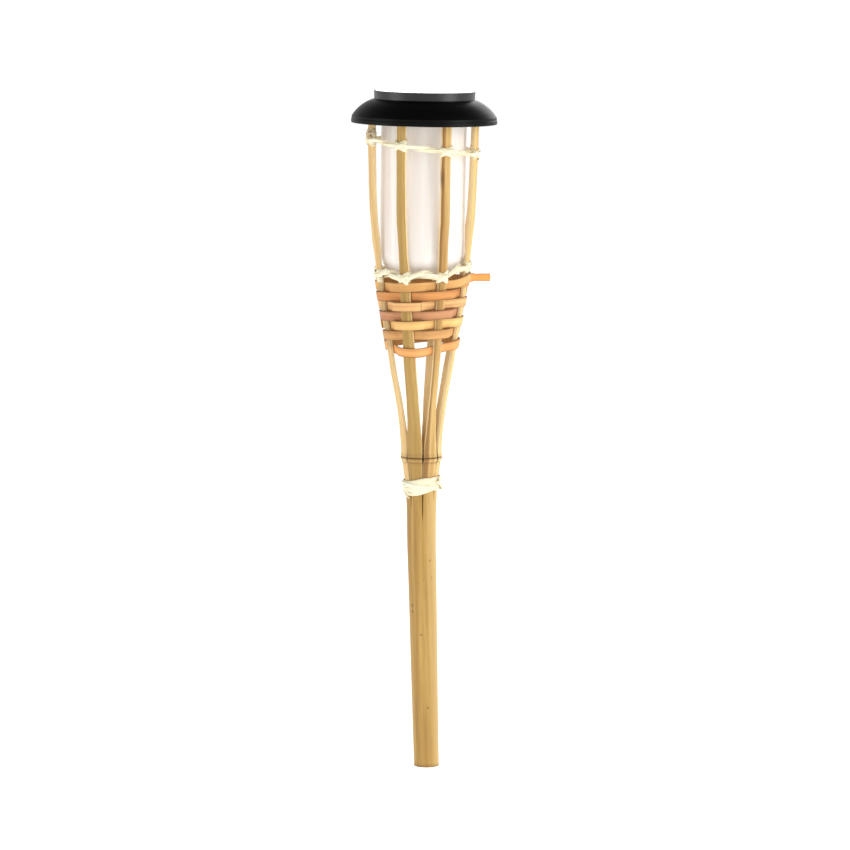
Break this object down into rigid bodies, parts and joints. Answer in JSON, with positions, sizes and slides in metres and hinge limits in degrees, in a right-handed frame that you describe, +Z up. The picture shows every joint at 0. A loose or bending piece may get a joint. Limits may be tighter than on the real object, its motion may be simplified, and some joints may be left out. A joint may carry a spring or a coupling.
{
  "type": "tiki torch",
  "caption": "Solar garden torch: a bamboo pole split and woven into a basket that holds a lift-out lamp with a frosted cup and a round black cap.",
  "frame": {"origin": "on the pole's axis where it leaves the ground; the pole below z = 0 is planted", "axes": "+Z up along the planted part of the pole, -Y towards the viewer, +X to the viewer's right"},
  "size_m": [0.0901, 0.09, 0.58],
  "materials": {
    "bamboo_tan": "satin",
    "bamboo_peach": "satin",
    "bamboo_olive": "satin",
    "bamboo_brown": "satin",
    "bamboo_yellow": "satin",
    "weave_orange": "satin",
    "weave_tan": "satin",
    "weave_pink": "satin",
    "raffia": "matte",
    "black_plastic": "satin",
    "tray_plastic": "satin",
    "frosted_plastic": "frosted",
    "clear_window": "clear",
    "solar_cell": "gloss",
    "panel_board": "matte",
    "circuit_green": "satin",
    "component_black": "satin",
    "battery_wrap": "gloss",
    "nickel": "satin",
    "screw_steel": "satin",
    "led_epoxy": "clear",
    "switch_grey": "satin",
    "wire_red": "satin",
    "wire_black": "satin"
  },
  "bodies": {
    "cage": {"bamboo_pole": "bamboo_tan", "stave_1": "bamboo_peach", "stave_2": "bamboo_olive", "stave_3": "bamboo_brown", "stave_4": "bamboo_yellow", "stave_5": "bamboo_tan", "stave_6": "bamboo_peach", "stave_7": "bamboo_brown", "stave_8": "bamboo_olive", "weave_row_1": "weave_tan", "weave_row_2": "weave_orange", "weave_row_3": "weave_tan", "weave_row_4": "weave_pink", "weave_row_5": "weave_tan", "weave_row_6": "weave_tan", "weave_row_7": "weave_orange", "upper_lashing": "raffia", "lower_lashing": "raffia", "pole_lashing": "raffia"},
    "lamp_head": {"cap_shell": "black_plastic", "panel_window": "clear_window", "solar_cells": "solar_cell", "solar_board": "panel_board", "lamp_tray": "tray_plastic", "tray_screws": "screw_steel", "battery": "battery_wrap", "battery_contact": "nickel", "battery_spring": "nickel", "circuit_board": "circuit_green", "board_components": "component_black", "led": "led_epoxy", "switch_body": "component_black", "panel_wires": "wire_red", "battery_wires": "wire_black"},
    "diffuser": {"diffuser": "frosted_plastic"},
    "switch_knob": {"switch_knob": "switch_grey"},
    "battery_cover": {"battery_cover": "tray_plastic"}
  },
  "joints": [
    {"name": "lamp_lift", "type": "slide", "parent": "cage", "child": "lamp_head", "axis": [0.0175, 0, 0.9998], "range_m": [0, 0.12]},
    {"name": "diffuser_twist", "type": "hinge", "parent": "lamp_head", "child": "diffuser", "pos_m": [-0.00147, 0, 0.40206], "axis": [0.0175, 0, 0.9998], "range_deg": [-20, 0]},
    {"name": "switch_slide", "type": "slide", "parent": "lamp_head", "child": "switch_knob", "axis": [0.9998, 0, -0.0175], "range_m": [0, 0.002]},
    {"name": "battery_cover_drop", "type": "slide", "parent": "lamp_head", "child": "battery_cover", "axis": [-0.0175, 0, -0.9998], "range_m": [0, 0.02]}
  ]
}
